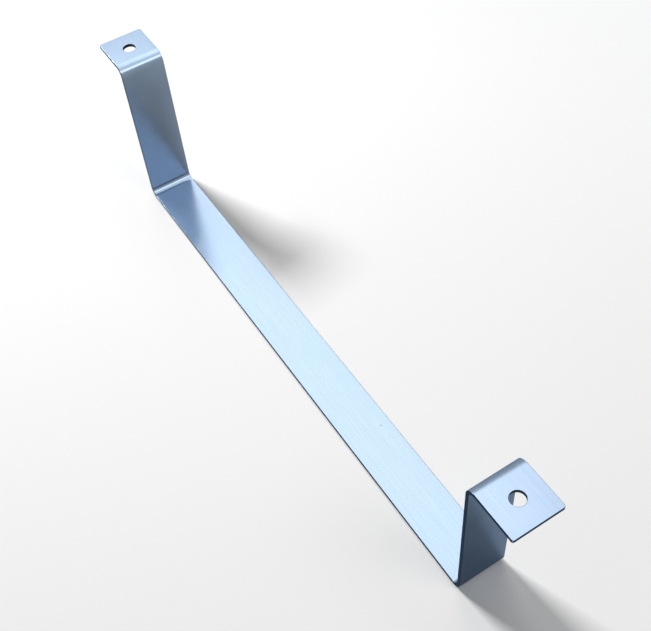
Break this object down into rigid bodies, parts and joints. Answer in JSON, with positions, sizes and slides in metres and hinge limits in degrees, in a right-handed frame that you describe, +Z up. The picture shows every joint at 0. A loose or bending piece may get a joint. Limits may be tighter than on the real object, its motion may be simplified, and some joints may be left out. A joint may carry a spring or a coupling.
{
  "type": "water tank bracket",
  "caption": "Flat metal strap folded into a wide shallow cradle for a water tank, with outward flanges, each with a bolt hole.",
  "frame": {"origin": "under the middle of the base, on the surface that the bracket stands on", "axes": "+X along the strap from one leg to the other, +Y across the strap's width, +Z up towards the flanges"},
  "size_m": [0.573, 0.04, 0.15],
  "materials": {
    "strap_metal": "smooth satin steel with a thin bluish zinc plate"
  },
  "bodies": {
    "root": {"bracket_strap": "strap_metal"}
  },
  "joints": []
}
